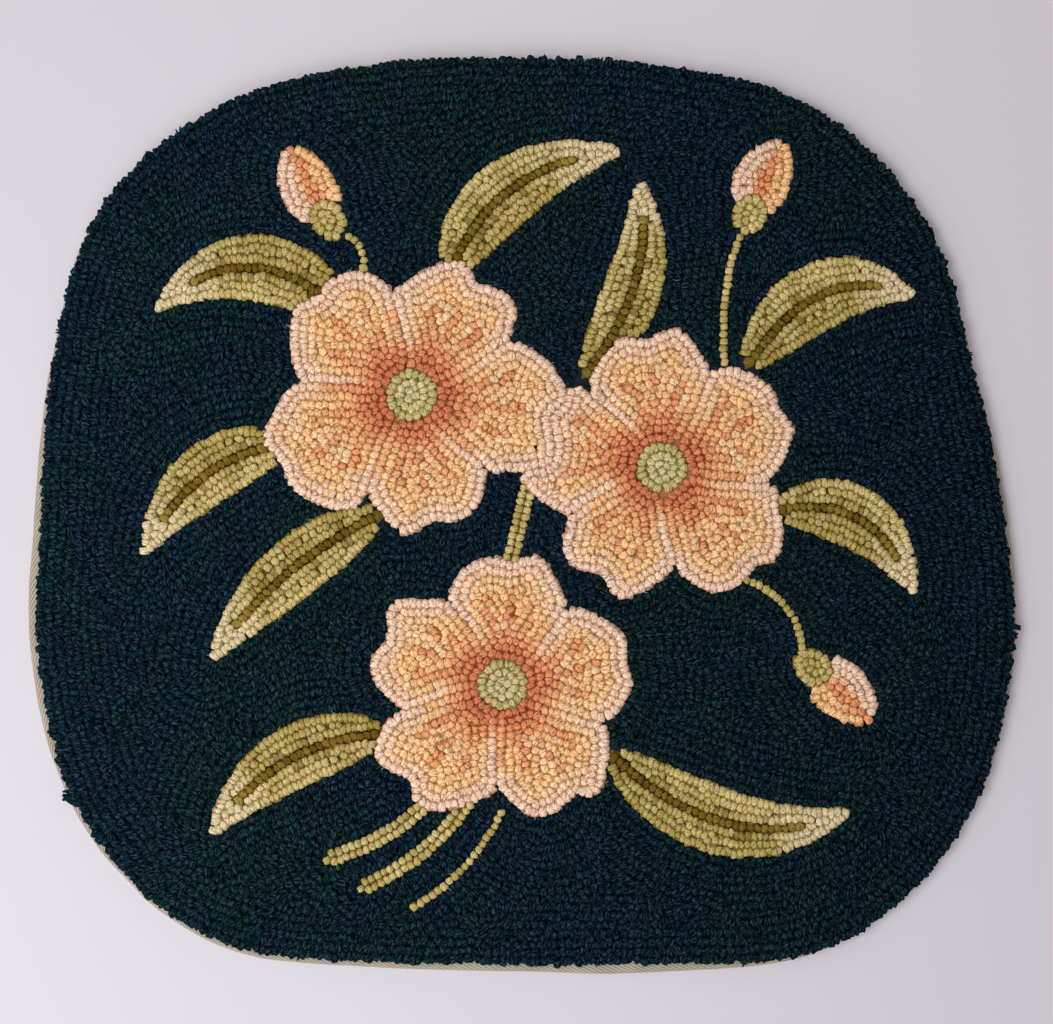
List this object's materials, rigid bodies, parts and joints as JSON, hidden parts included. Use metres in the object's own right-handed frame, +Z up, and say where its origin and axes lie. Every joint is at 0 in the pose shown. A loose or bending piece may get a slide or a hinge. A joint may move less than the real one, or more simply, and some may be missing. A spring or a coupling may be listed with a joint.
{
  "type": "hooked chair pad",
  "caption": "Flat rounded-square seat pad hooked from wool yarn loops, a spray of open flowers on a dark ground, its edge bound with beige twill tape.",
  "frame": {"origin": "middle of the bounding box, on the underside that rests on the seat", "axes": "+Z up out of the loops, +X across the pad to the right of the picture, +Y towards the back edge, which is the top of the picture"},
  "size_m": [0.4122, 0.382, 0.0084],
  "materials": {
    "ground_yarn": "matt wool loops, navy mottled with bottle green",
    "petal_yarn": "matt wool loops, peach to apricot with pale pink",
    "leaf_yarn": "matt wool loops, olive to straw",
    "twill_tape": "matt cotton twill with diagonal ribs",
    "foundation_cloth": "matt plain weave"
  },
  "bodies": {
    "root": {"hooked_pad": "ground_yarn", "binding_tape": "twill_tape"}
  },
  "joints": []
}
